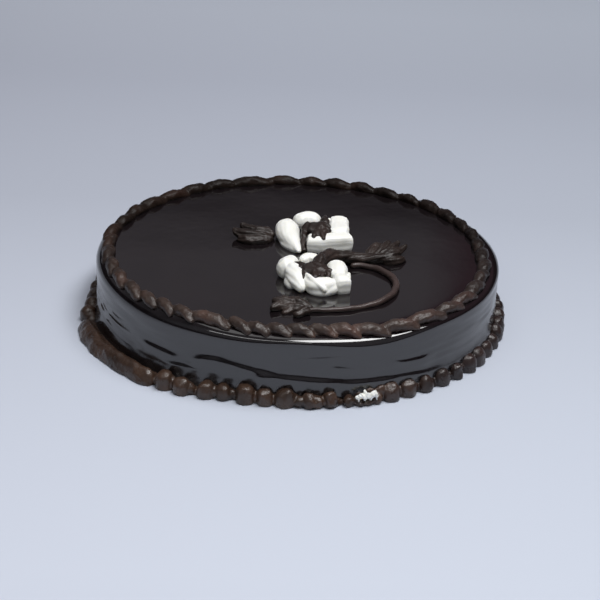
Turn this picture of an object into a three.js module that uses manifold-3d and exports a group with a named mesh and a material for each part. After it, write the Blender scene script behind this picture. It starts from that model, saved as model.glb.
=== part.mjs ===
// A round chocolate fudge cake: a low glazed body, a slanted piped border on its top edge, a border of
// round piped drops at its foot, two white cream flowers with chocolate centres, and piped chocolate sprays.
// Millimetres, +Z up, origin at the middle of the flat underside. -Y is the side that faces the viewer.

import * as THREE from "three";
import { mergeVertices } from "three/addons/utils/BufferGeometryUtils.js";
import Module from "manifold-3d";

const wasm = await Module();
wasm.setup();

// ---- driving dimensions -------------------------------------------------------------------------------

const GAP = 0.3; // clearance between pieces that touch

const CAKE = {
  radius: 105, // glazed radius at half height
  height: 34.8, // flat glazed top
  shoulder: 5.5, // rounding of the glazed top edge
  footInset: 1.2, // the glaze draws in at the very foot
  footHeight: 3,
  segments: 84,
};

const TOP_BORDER = {
  ringRadius: 97.2, // middle of the piped rope
  halfWidth: 4.7,
  height: 3.8, // crest of a stroke above the glaze
  strokes: 43, // slanted strokes round the cake
  slant: 0.42, // how far a stroke advances, in pitches, from the middle of the rope to its edge
  waist: 0.45, // size of the rope between two strokes
  segmentsPerStroke: 6,
  sides: 7,
};

const FOOT_BORDER = {
  ringRadius: 106.6, // middle of the drops where they lean on the wall
  halfWidth: 4.2,
  height: 8.2,
  widest: 0.35, // where a drop is widest, as a part of its height
  footSpread: 1.75, // a drop sits on a foot almost as wide as the drop itself
  lean: 1.2, // its tip leans this far towards the wall
  drops: 67,
  waist: 0.6, // size of the border between two drops
  segmentsPerDrop: 5,
  sides: 6,
  // To the left the border lies off the wall, and there a stretch of it is smeared to a smooth band.
  drift: 5.6,
  driftFrom: -167,
  driftTo: -119,
  driftEdge: 13,
  bandFrom: -163,
  bandTo: -130,
  bandWaist: 0.97,
  // In front a few drops are flattened into each other.
  smearFrom: -90,
  smearTo: -64,
  smearWaist: 0.85,
};

// Cream that shows through the foot border where its chocolate is missing.
const CREAM_SPOT = { angle: -70.4, radius: 108.2, z: 6.4, length: 11.5, width: 4.4, height: 5 };

const FLOWER_HEIGHT = 8.6; // cream strokes above the glaze

// Strokes of star-nozzle cream, each from its fat end to its thin end: points in plan, and half width.
const FLOWER_BACK = [
  { points: [[-6.5, 28], [-6, 16], [1, -4]], halfWidth: 7.4, tail: 0.35 },
  { points: [[12, 30], [5, 31.5], [-3, 24.5]], halfWidth: 7.8, tail: 0.7 },
  { points: [[21.2, 33], [21, 22], [19, 12]], halfWidth: 6.6, tail: 0.8 },
  { points: [[29, 7], [18, 4], [5, 3]], halfWidth: 6.6, tail: 0.85 },
  { points: [[-4, 8], [-5, 4], [-1, 0]], halfWidth: 5.2, tail: 0.5, low: 0.5 },
];
const FLOWER_FRONT = [
  { points: [[-3.5, -25.5], [-5, -33], [-1, -41]], halfWidth: 7.4, tail: 0.6 },
  { points: [[-1, -36], [-1, -45], [3.5, -55]], halfWidth: 5.8, tail: 0.35 },
  { points: [[1, -24], [6, -23], [11, -27]], halfWidth: 5, tail: 0.6 },
  { points: [[20, -25], [20, -33], [19.5, -43]], halfWidth: 6.2, tail: 0.85 },
  { points: [[29, -47.5], [20, -49.5], [11, -52]], halfWidth: 6.6, tail: 0.85 },
  { points: [[4, -46], [8, -53], [15, -54.5]], halfWidth: 6.4, tail: 0.7, low: 0.9 },
  { points: [[-3, -44], [-3.5, -48.5], [-1, -51.5]], halfWidth: 4, tail: 0.6, low: 0.5 },
];

// Chocolate dropped into the middle of each flower: middle in plan, half width, and the heights of its
// underside and top above the glaze.
const CENTRE_BACK = { at: [9.5, 13.5], halfWidth: 7.6, bottom: 3, top: 10 };
const CENTRE_FRONT = { at: [8, -38.5], halfWidth: 8.4, bottom: 3, top: 10 };
// The strokes of a flower run together in a low bed under that chocolate.
const FLOWER_BED = { halfWidth: 14, height: 4 };

// A ribbed chocolate stroke from the front centre to the right, over the flower and down onto the glaze,
// where it ends in a frayed leaf. Points give plan and height above the glaze.
const SPRAY_RIGHT = {
  points: [[9, -34, 8], [15, -24, 8], [25, -17.5, 5], [36, -13.5, 3.2], [46, -10.5, 2.8], [54, -8, 2.8]],
  halfWidth: 3.9,
};
const SPRAY_RIGHT_FINGERS = [
  { points: [[33, -13, 2.2], [44, -1, 2.8], [53, 8.5, 3.4]], halfWidth: 3.8 },
  { points: [[40, -9.5, 2.2], [48, -2, 2.6], [56, 3, 3]], halfWidth: 3.4 },
  { points: [[42, -13, 2.2], [49, -14, 2.4], [55, -13.5, 2.6]], halfWidth: 2.8 },
];
// A thin stem that curls round the front flower into a small leaf.
const STEM = {
  points: [[28, -20.5, 1.2], [35, -20.5, 1.2], [43.5, -26.5, 1.2], [48.6, -38, 1.2], [47.6, -52, 1.2],
    [40, -65, 1.2], [26, -73.5, 1.2], [10.5, -76.5, 1.2]],
  halfWidth: 1.35,
};
const LEAF_FRONT = [
  { points: [[8, -76, 2], [1, -75.5, 2.4], [-6, -74, 2]], halfWidth: 4.2 },
  { points: [[2, -71, 2], [-5, -69, 2.4], [-11, -71, 2.4]], halfWidth: 3.2 },
  { points: [[-2, -77, 2], [-8, -78, 2.2], [-14, -77.5, 2.6]], halfWidth: 2.8 },
  { points: [[3, -78, 2], [0, -82, 2.2], [-1, -86, 2]], halfWidth: 3 },
];
const LEAF_LEFT = [
  { points: [[-14, 10, 2], [-25, 15, 2.8], [-37, 21, 4]], halfWidth: 3.8 },
  { points: [[-19, 9, 2], [-27, 10, 2.4], [-36, 13, 3]], halfWidth: 3.2 },
  { points: [[-19, 16, 2], [-27, 22, 2.6], [-33, 27, 3.4]], halfWidth: 2.8 },
];

// ---- finishes -----------------------------------------------------------------------------------------

const glaze = new THREE.MeshStandardMaterial({ color: 0x1c1210, roughness: 0.08, metalness: 0 });
const fudge = new THREE.MeshStandardMaterial({ color: 0x2a1814, roughness: 0.32, metalness: 0 });
const cream = new THREE.MeshStandardMaterial({ color: 0xf1f0e6, roughness: 0.5, metalness: 0 });

// ---- helpers ------------------------------------------------------------------------------------------

const radians = THREE.MathUtils.degToRad;
const clamp = THREE.MathUtils.clamp;
const smooth = THREE.MathUtils.smoothstep;

// Signed difference of two angles in degrees, from -180 to 180.
const turn = (a, b) => THREE.MathUtils.euclideanModulo(a - b + 180, 360) - 180;

// 1 inside the stretch of angles from a to b, falling to 0 within "edge" degrees outside it.
function stretch(angle, a, b, edge) {
  const middle = (a + b) / 2;
  const outside = Math.abs(turn(angle, middle)) - (b - a) / 2;
  return 1 - smooth(outside, 0, edge);
}

// Moves every vertex of a geometry by a function of its position.
function shape(geometry, move) {
  const position = geometry.getAttribute("position");
  const point = new THREE.Vector3();
  for (let i = 0; i < position.count; i++) {
    point.fromBufferAttribute(position, i);
    move(point);
    position.setXYZ(i, point.x, point.y, point.z);
  }
  return geometry;
}

function solid(geometry) {
  const bare = geometry.clone();
  bare.deleteAttribute("normal");
  bare.deleteAttribute("uv");
  const merged = mergeVertices(bare, 1e-4);
  const triVerts = new Uint32Array(merged.index.array);
  const vertProperties = merged.getAttribute("position").array;
  return new wasm.Manifold(new wasm.Mesh({ numProp: 3, vertProperties, triVerts }));
}

function geometryOf(manifold) {
  const mesh = manifold.getMesh();
  return new THREE.BufferGeometry()
    .setAttribute("position", new THREE.BufferAttribute(new Float32Array(mesh.vertProperties), 3))
    .setIndex(new THREE.BufferAttribute(new Uint32Array(mesh.triVerts), 1));
}

const join = (geometries) => geometries.map(solid).reduce((sum, next) => sum.add(next));

// A closed piped stroke along a curve. radiusAt(t) gives the half width, flatten the height over width, and
// blunt how square its ends are, from 1, pointed, to 0.
function pipe(curve, radiusAt, { sides = 8, steps = 6, flatten = 1, blunt = 0.5, floor = -Infinity, grow = 0 }) {
  const up = new THREE.Vector3(0, 0, 1);
  return shape(new THREE.SphereGeometry(1, sides, steps), (p) => {
    const t = Math.acos(clamp(p.y, -1, 1)) / Math.PI;
    const round = Math.sin(t * Math.PI);
    const angle = Math.atan2(p.z, p.x);
    const radius = round < 1e-6 ? 0 : radiusAt(t) * round ** blunt + grow;
    const tangent = curve.getTangent(t);
    const side = new THREE.Vector3().crossVectors(up, tangent).normalize();
    const lift = new THREE.Vector3().crossVectors(tangent, side).normalize();
    p.copy(curve.getPoint(t));
    p.addScaledVector(tangent, (t - 0.5) * 2 * grow);
    p.addScaledVector(side, radius * Math.cos(angle));
    p.addScaledVector(lift, radius * flatten * Math.sin(angle));
    p.z = Math.max(p.z, floor);
  });
}

const curveThrough = (points) => new THREE.CatmullRomCurve3(points.map((p) => new THREE.Vector3(...p)));

// ---- the glazed body ----------------------------------------------------------------------------------

// Height of the glazed surface at a distance from the axis.
function glazeHeight(r) {
  const inner = CAKE.radius - CAKE.shoulder;
  if (r <= inner) return CAKE.height;
  const across = Math.min(r - inner, CAKE.shoulder);
  return CAKE.height - CAKE.shoulder + Math.sqrt(CAKE.shoulder ** 2 - across ** 2);
}

function cakeBody() {
  const inner = CAKE.radius - CAKE.shoulder;
  const profile = [
    new THREE.Vector2(0, 0),
    new THREE.Vector2(CAKE.radius - CAKE.footInset, 0),
    new THREE.Vector2(CAKE.radius, CAKE.footHeight),
  ];
  const arcSteps = 5;
  for (let i = 0; i <= arcSteps; i++) {
    const a = (i / arcSteps) * (Math.PI / 2);
    const r = inner + CAKE.shoulder * Math.cos(a);
    profile.push(new THREE.Vector2(r, CAKE.height - CAKE.shoulder * (1 - Math.sin(a))));
  }
  profile.push(new THREE.Vector2(0, CAKE.height));
  return new THREE.LatheGeometry(profile, CAKE.segments).rotateX(Math.PI / 2);
}

// ---- the piped borders --------------------------------------------------------------------------------

// Swell of a piped stroke along its length, 0 where two strokes meet and 1 at the fattest place.
function swell(phase) {
  const t = THREE.MathUtils.euclideanModulo(phase, 1);
  return Math.sin(Math.PI * t ** 0.85) ** 0.7;
}

function topBorder() {
  const b = TOP_BORDER;
  const ring = new THREE.TorusGeometry(b.ringRadius, 1, b.sides, b.strokes * b.segmentsPerStroke);
  return shape(ring, (p) => {
    const around = Math.atan2(p.y, p.x);
    const out = Math.hypot(p.x, p.y) - b.ringRadius;
    const up = p.z;
    const phase = (around / (2 * Math.PI)) * b.strokes - b.slant * out;
    const size = b.waist + (1 - b.waist) * swell(phase);
    const r = b.ringRadius + out * b.halfWidth * size;
    const floor = glazeHeight(r) + GAP;
    const z = CAKE.height + up * b.height * size;
    p.set(r * Math.cos(around), r * Math.sin(around), Math.max(z, floor));
  });
}

function footBorder() {
  const b = FOOT_BORDER;
  const ring = new THREE.TorusGeometry(b.ringRadius, 1, b.sides, b.drops * b.segmentsPerDrop);
  return shape(ring, (p) => {
    const around = Math.atan2(p.y, p.x);
    const degrees = THREE.MathUtils.radToDeg(around);
    const out = Math.hypot(p.x, p.y) - b.ringRadius;
    const band = stretch(degrees, b.bandFrom, b.bandTo, 5);
    const smear = stretch(degrees, b.smearFrom, b.smearTo, 4);
    const waist = b.waist + (b.bandWaist - b.waist) * band + (b.smearWaist - b.waist) * smear;
    const size = waist + (1 - waist) * swell((around / (2 * Math.PI)) * b.drops);
    const away = b.drift * stretch(degrees, b.driftFrom, b.driftTo, b.driftEdge);
    const spread = p.z < -0.1 ? b.footSpread : 1;
    const z = b.height * size * Math.max(0, b.widest + (1 - b.widest) * p.z);
    const r = b.ringRadius + away + out * spread * b.halfWidth * size - (b.lean * z) / b.height;
    const kept = Math.max(r, CAKE.radius + GAP);
    p.set(kept * Math.cos(around), kept * Math.sin(around), z);
  });
}

// A lumpy blob of cream lying along the border.
function creamSpot(grow) {
  const c = CREAM_SPOT;
  const a = radians(c.angle);
  const half = [c.length / 2, c.width / 2, c.height / 2].map((v) => v + grow);
  return shape(new THREE.SphereGeometry(1, 10, 7), (p) => {
    const along = -p.x * half[0]; // kept right-handed, so that the faces point out
    const across = p.y * half[1];
    const r = c.radius + across;
    const around = a + along / c.radius;
    const lump = 1 + 0.12 * Math.sin(along * 1.3) * p.z;
    p.set(r * Math.cos(around), r * Math.sin(around), c.z + p.z * half[2] * lump);
  });
}

// ---- flowers, centres and sprays ----------------------------------------------------------------------

const FLOOR = CAKE.height + GAP;

function creamStroke({ points, halfWidth, tail, low = 1 }) {
  const height = FLOWER_HEIGHT * low;
  const radiusAt = (t) => halfWidth * (1 - (1 - tail) * smooth(t, 0.25, 1));
  const middle = CAKE.height + height * 0.42;
  const flatten = (height * 0.58) / halfWidth;
  const curve = curveThrough(points.map(([x, y]) => [x, y, middle]));
  return pipe(curve, radiusAt, { sides: 10, steps: 7, flatten, blunt: 0.35, floor: FLOOR });
}

function flowerBed({ at }) {
  return shape(new THREE.SphereGeometry(1, 14, 6), (p) => {
    const z = CAKE.height + p.z * FLOWER_BED.height;
    p.set(at[0] + p.x * FLOWER_BED.halfWidth, at[1] + p.y * FLOWER_BED.halfWidth, Math.max(z, FLOOR));
  });
}

function centre({ at, halfWidth, bottom, top }, grow) {
  return shape(new THREE.SphereGeometry(1, 12, 8), (p) => {
    const angle = Math.atan2(p.y, p.x);
    const ragged = 1 + 0.14 * Math.sin(5 * angle + at[1]) * (1 - Math.abs(p.z));
    const wide = halfWidth * ragged + grow;
    const z = CAKE.height + (top + bottom) / 2 + p.z * ((top - bottom) / 2 + grow);
    p.set(at[0] + p.x * wide, at[1] + p.y * wide, z);
  });
}

function chocolateStroke({ points, halfWidth }, { steps = 8, grow = 0, tail = 0.55, blunt = 0.5 } = {}) {
  const curve = curveThrough(points.map(([x, y, z]) => [x, y, CAKE.height + z]));
  const radiusAt = (t) => halfWidth * (1 - (1 - tail) * smooth(t, 0.5, 1));
  return pipe(curve, radiusAt, { sides: 8, steps, flatten: 0.8, blunt, floor: FLOOR - grow, grow });
}

// ---- assembly -----------------------------------------------------------------------------------------

const cake = new THREE.Group();

function add(name, geometry, material) {
  const mesh = new THREE.Mesh(geometry, material.clone());
  mesh.name = name;
  cake.add(mesh);
}

const centreBack = solid(centre(CENTRE_BACK, 0));
const centreFront = solid(centre(CENTRE_FRONT, 0));
const spray = join([
  chocolateStroke(SPRAY_RIGHT, { steps: 14 }),
  ...SPRAY_RIGHT_FINGERS.map((finger) => chocolateStroke(finger, { steps: 5 })),
]);
const sprayRoom = solid(chocolateStroke(SPRAY_RIGHT, { steps: 14, grow: GAP }));
const centreFrontRoom = solid(centre(CENTRE_FRONT, GAP));
const flowerBack = join([flowerBed(CENTRE_BACK), ...FLOWER_BACK.map(creamStroke)])
  .subtract(solid(centre(CENTRE_BACK, GAP)))
  .subtract(sprayRoom);
const flowerFront = join([flowerBed(CENTRE_FRONT), ...FLOWER_FRONT.map(creamStroke)])
  .subtract(centreFrontRoom)
  .subtract(sprayRoom);

add("cake", cakeBody(), glaze);
add("top_border", topBorder(), fudge);
add("foot_border", geometryOf(solid(footBorder()).subtract(solid(creamSpot(GAP)))), fudge);
add("cream_spot", creamSpot(0), cream);
add("flower_back", geometryOf(flowerBack), cream);
add("flower_front", geometryOf(flowerFront), cream);
add("centre_back", geometryOf(centreBack), fudge);
add("centre_front", geometryOf(centreFront), fudge);
add("spray_right", geometryOf(spray.subtract(centreFrontRoom)), fudge);
add("stem", chocolateStroke(STEM, { steps: 24, tail: 0.9, blunt: 0.25 }), fudge);
add("leaf_front", geometryOf(join(LEAF_FRONT.map((part) => chocolateStroke(part, { steps: 5 })))), fudge);
add("leaf_left", geometryOf(join(LEAF_LEFT.map((part) => chocolateStroke(part, { steps: 5 })))), fudge);

export default cake;
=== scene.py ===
"""A round mirror-glazed chocolate fudge cake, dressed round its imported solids.

Lengths are in millimetres and angles in degrees, counted anticlockwise from +X as seen from above, unless a
name says otherwise. Meshes are turned into metres where they are made.
"""
import math

import bpy
import numpy as np
from mathutils import Matrix, Vector, noise


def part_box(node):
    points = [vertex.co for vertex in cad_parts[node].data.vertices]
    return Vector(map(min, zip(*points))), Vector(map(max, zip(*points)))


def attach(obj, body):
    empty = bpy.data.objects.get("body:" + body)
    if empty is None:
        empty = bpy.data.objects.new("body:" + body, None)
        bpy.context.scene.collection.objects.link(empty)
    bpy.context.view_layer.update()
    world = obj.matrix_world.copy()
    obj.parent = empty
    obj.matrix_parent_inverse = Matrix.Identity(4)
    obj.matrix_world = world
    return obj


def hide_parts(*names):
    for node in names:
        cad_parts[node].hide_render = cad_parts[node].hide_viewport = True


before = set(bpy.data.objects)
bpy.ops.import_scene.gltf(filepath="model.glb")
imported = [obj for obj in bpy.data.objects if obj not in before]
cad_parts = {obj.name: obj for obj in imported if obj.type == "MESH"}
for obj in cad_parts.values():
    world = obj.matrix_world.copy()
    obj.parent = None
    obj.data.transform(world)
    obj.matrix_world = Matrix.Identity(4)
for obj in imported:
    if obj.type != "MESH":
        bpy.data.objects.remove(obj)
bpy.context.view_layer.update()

NOISE_SEED = 5
noise.seed_set(NOISE_SEED)  # noise_vector starts from the clock without it

MM = 0.001
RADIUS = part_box("cake")[1].x / MM
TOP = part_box("cake")[1].z / MM

# ---- driving dimensions -------------------------------------------------------------------------------

CAMERA = {"place": (2.1, -817.8, 386.8), "down": 24.97, "roll": 2.40, "lens": 102.0, "sensor": 36.0}

GLAZE = {
    "segments": 640,  # round the cake
    "wall_rows": 72,
    "edge_rows": 16,
    "top_rows": 40,
    "top_spacing": 0.8,  # below 1 the rows of the top crowd towards its edge
    "under_ring": 0.55,  # a ring of the underside, as a share of the radius
    "foot_inset": 1.2,
    "foot_height": 3.0,
    "flare": 4.6,  # how far the wall runs out at its foot where the border lies off it
    "flare_height": 15.0,
    "flare_curve": 1.5,
    "relief_from": 1.5,  # the height at which the waves and folds begin
    "relief_fade": 3,  # the height over which they fade in, and out again under the edge
    "relief_sink": 0.1,  # how far the relief as a whole lies inwards
}
# Long low swells of the flat top: height, length, the slice of the noise that shapes them, how far from the
# edge they begin, and over what distance they grow to their full height.
SWELL = {"height": 0.10, "length": 45, "slice": 3.3, "inset": 8, "fade": 20}
LEVEL = 0.01  # how near to the top's height counts as flat

# The rounded top edge: how far it reaches inwards and down all round. The runs change that about an angle:
# angle, half width, and what they add to the reach and the drop. The edge is tight in front and on the right,
# and the glaze ran down more at the left of the front and at the back.
EDGE = {"reach": 4.4, "drop": 2.5}
EDGE_RUNS = ((-60, 34, -1.9, -0.6), (-131, 25, 1.8, 4.2), (110, 70, 1.0, 2.0), (180, 30, 0.8, 1.8))
# The outer top sags towards the edge: how far inwards that begins, and where, as angle, half width and sag.
SAG_REACH = 14
SAG_RUNS = ((-68, 15.5, 4.0), (-102, 12, 1.2), (-30, 20, 1.0))

SINK = 0.35  # how deep a piped piece sits in what carries it

# Waves in the poured glaze, the long low ones and the fine level runs: depth, length, height and the noise's
# offset.
WAVES = ((0.42, 30, 9, (4, 0, 0)), (0.16, 16, 2.6, (0, 4, 0)))
# Folds in which the glaze set on the wall: how far the fold stands out, the height of its steep upper side,
# and the line along it as angle and height.
GLAZE_FOLDS = (
    # the lip above the foot border
    (1.25, 2.4, (
        (-103, 13.6), (-98.5, 14.6), (-94.5, 14.9), (-88, 14.2), (-80, 12.6), (-73.5, 11.8), (-65.6, 11.4),
        (-60.5, 11.6), (-52, 10.0), (-42.7, 9.2), (-35.8, 9.8), (-26.7, 9.0), (-14, 8.0),
    )),
    # the folds over it and beside it
    (0.95, 2.0, ((-121, 17.0), (-115.6, 17.8), (-110.7, 19.2), (-105.1, 18.4), (-99.2, 16.6), (-93, 15.6))),
    (0.80, 1.8, ((-138, 16.4), (-132.5, 16.2), (-128, 15.8), (-123.8, 15.2), (-118, 14.8))),
    (0.24, 0.9, ((-128, 10.4), (-120, 11.6), (-110, 12.2))),
    (0.70, 1.7, ((-84, 20.6), (-78.2, 19.6), (-75, 18.5), (-70.4, 17.8), (-65, 17.6))),
    (0.20, 1.0, ((-76, 23.4), (-70, 22.4), (-60, 21.6))),
    (0.85, 1.9, ((-68, 20.8), (-63, 20.0), (-59.3, 18.5), (-54.4, 18.0), (-48, 18.4))),
    (0.16, 1.0, ((-104, 25.0), (-90, 24.0), (-80, 25.4), (-66, 25.0))),
    (0.22, 1.0, ((-50, 16.0), (-40, 14.6), (-28, 14.0))),
    (0.20, 1.0, ((-38, 24.0), (-28, 22.0), (-16, 21.0))),
    (0.20, 0.8, ((-175, 18.0), (-165, 13.6), (-155, 10.6), (-147, 9.6), (-136, 9.2))),
    (0.17, 0.7, ((-174, 24.0), (-164, 19.0), (-156, 15.4), (-146, 13.4), (-138, 12.6))),
    (0.14, 0.8, ((-166, 26.0), (-156, 22.0), (-144, 19.6))),
)
# How a fold fades out: over how many degrees at its ends, how far its crest lies under its line, in heights
# of its upper side, and how much slower its lower side fades.
FOLD = {"end": 6, "crest": 0.7, "lower": 4}

# ---- arrays -------------------------------------------------------------------------------------------


def unit(v):
    return v / np.linalg.norm(v, axis=-1, keepdims=True)


def ease(x):
    x = np.clip(x, 0, 1)
    return x * x * (3 - 2 * x)


def turn(a, b):
    """Signed difference of two angles, from -180 to 180."""
    return (np.asarray(a) - b + 180) % 360 - 180


def polar(angle, radius, height):
    a = np.radians(angle)
    return np.stack(np.broadcast_arrays(radius * np.cos(a), radius * np.sin(a), height), -1)


def through(knots, count):
    """A smooth curve through knots, in any number of columns."""
    k = np.asarray(knots, float)
    k = np.vstack([2 * k[0] - k[1], k, 2 * k[-1] - k[-2]])
    t = np.linspace(0, len(k) - 3, count)
    i = np.minimum(t.astype(int), len(k) - 4)
    f = (t - i)[:, None]
    a, b, c, d = k[i], k[i + 1], k[i + 2], k[i + 3]
    return 0.5 * (2 * b + (c - a) * f + (2 * a - 5 * b + 4 * c - d) * f**2 + (3 * b - a - 3 * c + d) * f**3)


def grid_triangles(rows, columns):
    """Triangles of a grid whose columns close into a ring."""
    i, j = np.meshgrid(np.arange(rows - 1), np.arange(columns), indexing="ij")
    a = i * columns + j
    b = i * columns + (j + 1) % columns
    c, d = b + columns, a + columns
    return np.concatenate([np.stack([a, b, c], -1).reshape(-1, 3), np.stack([a, c, d], -1).reshape(-1, 3)])


def closed_rings(rings):
    """A closed surface through rings of points, whose first and last rings are each a single place."""
    rows, columns = rings.shape[:2]
    points = np.concatenate([rings[0, :1], rings[1:-1].reshape(-1, 3), rings[-1, :1]])
    inner = grid_triangles(rows - 2, columns) + 1
    j = np.arange(columns)
    k = (j + 1) % columns
    last = 1 + (rows - 3) * columns
    start = np.stack([np.zeros_like(j), 1 + k, 1 + j], -1)
    end = np.stack([np.full_like(j, len(points) - 1), last + j, last + k], -1)
    return points, np.concatenate([inner, start, end])


def piped(knots, steps, sides, flat=1.0, ribs=0, groove=0.0, twist=0.0, ends=(0.9, 0.9), square=1.0):
    """A closed piped stroke. A knot is x, y, z and half width. flat is height over width, ribs, groove and
    twist are the ridges that a star nozzle leaves, their depth and their turn per millimetre, ends are the
    lengths of the rounded ends in half widths, and square below 1 makes the section boxy."""
    line = through(knots, steps)
    place, half = line[:, :3], np.maximum(line[:, 3], 0.2)
    tangent = unit(np.gradient(place, axis=0))
    step = np.linalg.norm(np.diff(place, axis=0), axis=1)
    along = np.concatenate([[0], np.cumsum(step)])
    for way, end in ((along, ends[0] * half[0]), (along[-1] - along, ends[1] * half[-1])):
        half = half * np.sqrt(np.clip(1 - (1 - np.clip(way / end, 0, 1)) ** 2, 0, 1))
    side = np.zeros_like(place)
    first = np.cross((0, 0, 1), tangent[0])
    side[0] = unit(first if np.linalg.norm(first) > 0.1 else np.array([1.0, 0, 0]))
    for n in range(1, steps):
        side[n] = unit(side[n - 1] - side[n - 1].dot(tangent[n]) * tangent[n])
    lift = np.cross(tangent, side)
    angle = np.linspace(0, 2 * np.pi, sides, endpoint=False)[None] + np.zeros((steps, 1))
    nozzle = ribs * (angle + np.radians(twist * along[:, None]))
    size = half[:, None] * (1 - groove * (0.5 + 0.5 * np.cos(nozzle)) ** 2)
    cos, sin = (np.sign(f(angle)) * np.abs(f(angle)) ** square for f in (np.cos, np.sin))
    across = (size * cos)[..., None] * side[:, None]
    up = (size * flat * sin)[..., None] * lift[:, None]
    return closed_rings(place[:, None] + across + up)


def blob(centre, half, lumps=0.0, scale=4.0, seed=0, rows=18, sides=28, square=1.0):
    """A closed rounded lump. square below 1 gives it steeper sides and a flatter top."""
    steep = np.linspace(0, np.pi, rows)[:, None]
    angle = np.linspace(0, 2 * np.pi, sides, endpoint=False)[None]
    level, out = np.cos(steep), np.sin(steep)
    level, out = np.sign(level) * np.abs(level) ** square, np.abs(out) ** square
    rings = np.stack([out * np.cos(angle), -out * np.sin(angle), level + 0 * angle], -1)
    points, triangles = closed_rings(rings)
    points = np.asarray(centre) + points * np.asarray(half)
    return wobble(points, lumps, scale, seed), triangles


def wobble(points, amount, scale, seed):
    """Points moved by smooth noise with bumps of about the given scale."""
    if not amount:
        return points
    shift = Vector((seed * 7.31, seed * 3.77, seed * 5.13))
    moves = [noise.noise_vector(Vector(p) / scale + shift) for p in points]
    return points + amount * np.array(moves)


# ---- meshes -------------------------------------------------------------------------------------------


def mesh_of(name, points, triangles):
    mesh = bpy.data.meshes.new(name)
    mesh.vertices.add(len(points))
    mesh.vertices.foreach_set("co", (np.asarray(points) * MM).astype(np.float32).ravel())
    mesh.loops.add(3 * len(triangles))
    mesh.loops.foreach_set("vertex_index", np.asarray(triangles).astype(np.int32).ravel())
    mesh.polygons.add(len(triangles))
    mesh.polygons.foreach_set("loop_start", np.arange(0, 3 * len(triangles), 3, dtype=np.int32))
    mesh.update(calc_edges=True)
    mesh.validate()
    mesh.polygons.foreach_set("use_smooth", np.ones(len(mesh.polygons), bool))
    return mesh


def show(name, mesh):
    obj = bpy.data.objects.new(name, mesh)
    bpy.context.scene.collection.objects.link(obj)
    return obj


def fuse(name, parts, voxel, smooth):
    """One closed surface round all the parts, with the creases between them softened."""
    points, triangles, offset = [], [], 0
    for p, t in parts:
        points.append(p)
        triangles.append(t + offset)
        offset += len(p)
    source = show(name, mesh_of(name, np.concatenate(points), np.concatenate(triangles)))
    remesh = source.modifiers.new("fuse", "REMESH")
    remesh.mode = "VOXEL"
    remesh.voxel_size = voxel * MM
    remesh.adaptivity = 0.0
    soften = source.modifiers.new("soften", "SMOOTH")
    soften.factor = 0.5
    soften.iterations = smooth
    seen = source.evaluated_get(bpy.context.evaluated_depsgraph_get())
    mesh = bpy.data.meshes.new_from_object(seen)
    rough = source.data
    bpy.data.objects.remove(source)
    bpy.data.meshes.remove(rough)
    mesh.name = name
    mesh.polygons.foreach_set("use_smooth", np.ones(len(mesh.polygons), bool))
    return show(name, mesh)


def dress(obj, node, material):
    """The piece stands for a CAD node and takes its finish."""
    obj.data.materials.append(material)
    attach(obj, "root")
    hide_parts(node)


# ---- the glazed body ----------------------------------------------------------------------------------


def edge(angle):
    """Reach inwards and drop of the rounded top edge."""
    reach, drop = EDGE["reach"] + 0 * angle, EDGE["drop"] + 0 * angle
    for middle, half, more_reach, more_drop in EDGE_RUNS:
        near = np.exp(-((turn(angle, middle) / half) ** 2))
        reach, drop = reach + more_reach * near, drop + more_drop * near
    return reach, drop


def sag(angle, radius):
    """How far the top lies under its flat middle."""
    full = sum(deep * np.exp(-((turn(angle, middle) / half) ** 2)) for middle, half, deep in SAG_RUNS)
    return full * np.clip((radius - RADIUS + SAG_REACH) / SAG_REACH, 0, 1) ** 2


def glaze_height(angle, radius):
    """Height of the top and of its rounded edge."""
    reach, drop = edge(angle)
    across = np.clip((radius - RADIUS + reach) / reach, 0, 1)
    return TOP - sag(angle, radius) - drop + drop * np.sqrt(1 - across**2)


def fold_relief(angle, height):
    """How far the glaze stands out from a plain round wall."""
    out = np.zeros(np.broadcast(angle, height).shape)
    for depth, half, line in GLAZE_FOLDS:
        along, level = np.array(line).T
        inside = ease((angle - along[0]) / FOLD["end"]) * ease((along[-1] - angle) / FOLD["end"])
        above = height - np.interp(angle, along, level) + FOLD["crest"] * half
        fade = np.where(above > 0, half, FOLD["lower"] * half)
        out = out + depth * inside * np.exp(-((above / fade) ** 2))
    return out


def glaze_waves(points):
    """Long low waves and fine level runs in the poured glaze."""
    out = np.zeros(len(points))
    for depth, length, height, offset in WAVES:
        places = [Vector((x / length, y / length, z / height)) + Vector(offset) for x, y, z in points]
        out = out + depth * np.array([noise.noise(place) for place in places])
    return out


def glaze_wall(angle):
    """Rings up the wall, from the foot to the rounded edge."""
    g = GLAZE
    rim = glaze_height(angle, RADIUS)
    height = np.linspace(0, 1, g["wall_rows"])[:, None] * rim
    inset = g["foot_inset"] * np.clip(1 - height / g["foot_height"], 0, 1) ** 2
    low = np.clip(1 - height / g["flare_height"], 0, 1) ** g["flare_curve"]
    radius = RADIUS - inset + g["flare"] * drift(angle) / FOOT_DRIFT["far"] * low
    waves = glaze_waves(polar(angle, radius, height).reshape(-1, 3)).reshape(height.shape)
    fade = g["relief_fade"]
    inside = ease((height - g["relief_from"]) / fade) * ease((rim - height) / fade)
    relief = inside * (waves + fold_relief(angle + 0 * height, height) - g["relief_sink"])
    return polar(angle, radius + relief, height)


def swell_top(points):
    """Gives the flat top its swells, in place."""
    flat = points[:, 2] > TOP - LEVEL
    length = SWELL["length"]
    swell = [noise.noise(Vector((x / length, y / length, SWELL["slice"]))) for x, y, _ in points[flat]]
    inside = ease((RADIUS - SWELL["inset"] - np.hypot(*points[flat, :2].T)) / SWELL["fade"])
    points[flat, 2] += SWELL["height"] * np.array(swell) * inside


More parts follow.
